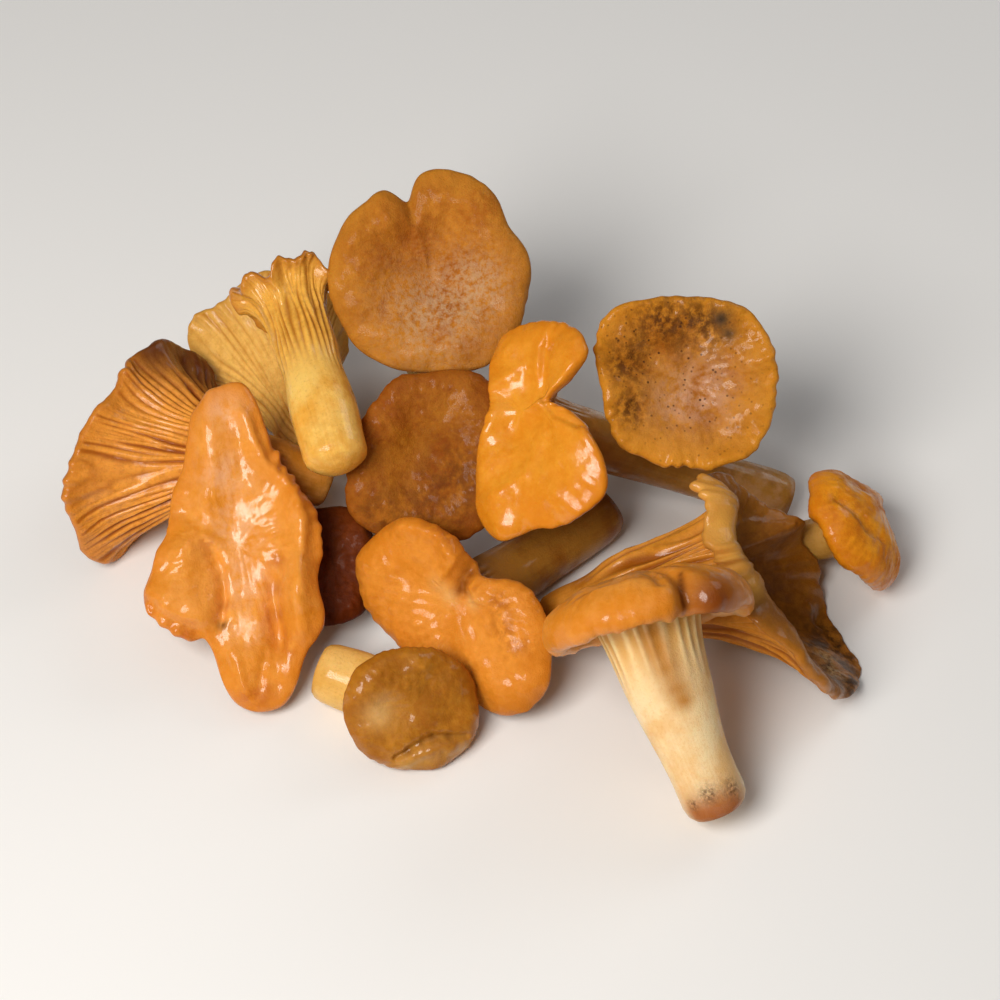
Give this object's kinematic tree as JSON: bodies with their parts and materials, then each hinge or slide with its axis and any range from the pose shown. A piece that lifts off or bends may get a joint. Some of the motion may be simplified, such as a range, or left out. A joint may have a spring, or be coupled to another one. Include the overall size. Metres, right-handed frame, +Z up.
{
  "type": "heap of chanterelle mushrooms",
  "caption": "Loose heap of whole golden chanterelles lying every way up, with wavy dished caps, gills that run down the stems, and moist orange and brown skins.",
  "frame": {"origin": "middle of the heap's footprint, on the surface that it lies on", "axes": "+X along the heap's longest side, to the right as first seen; +Z up; the side first seen faces -Y"},
  "size_m": [0.1854, 0.1407, 0.0704],
  "materials": {
    "flesh_high_round": "moist",
    "flesh_stem_first": "moist",
    "flesh_pale_fan": "moist",
    "flesh_left_trumpet": "moist",
    "flesh_broad_flap": "moist",
    "flesh_brown_cap": "moist",
    "flesh_saddle_cap": "moist",
    "flesh_speckled_dish": "moist",
    "flesh_small_right": "moist",
    "flesh_rolled_rim": "moist",
    "flesh_folded_trumpet": "moist",
    "flesh_notched_cap": "moist",
    "flesh_front_button": "moist",
    "flesh_under_cap": "moist"
  },
  "bodies": {
    "root": {"mushroom_high_round": "flesh_high_round", "mushroom_stem_first": "flesh_stem_first", "mushroom_pale_fan": "flesh_pale_fan", "mushroom_left_trumpet": "flesh_left_trumpet", "mushroom_broad_flap": "flesh_broad_flap", "mushroom_brown_cap": "flesh_brown_cap", "mushroom_saddle_cap": "flesh_saddle_cap", "mushroom_speckled_dish": "flesh_speckled_dish", "mushroom_small_right": "flesh_small_right", "mushroom_rolled_rim": "flesh_rolled_rim", "mushroom_folded_trumpet": "flesh_folded_trumpet", "mushroom_notched_cap": "flesh_notched_cap", "mushroom_front_button": "flesh_front_button", "mushroom_under_cap": "flesh_under_cap"}
  },
  "joints": []
}
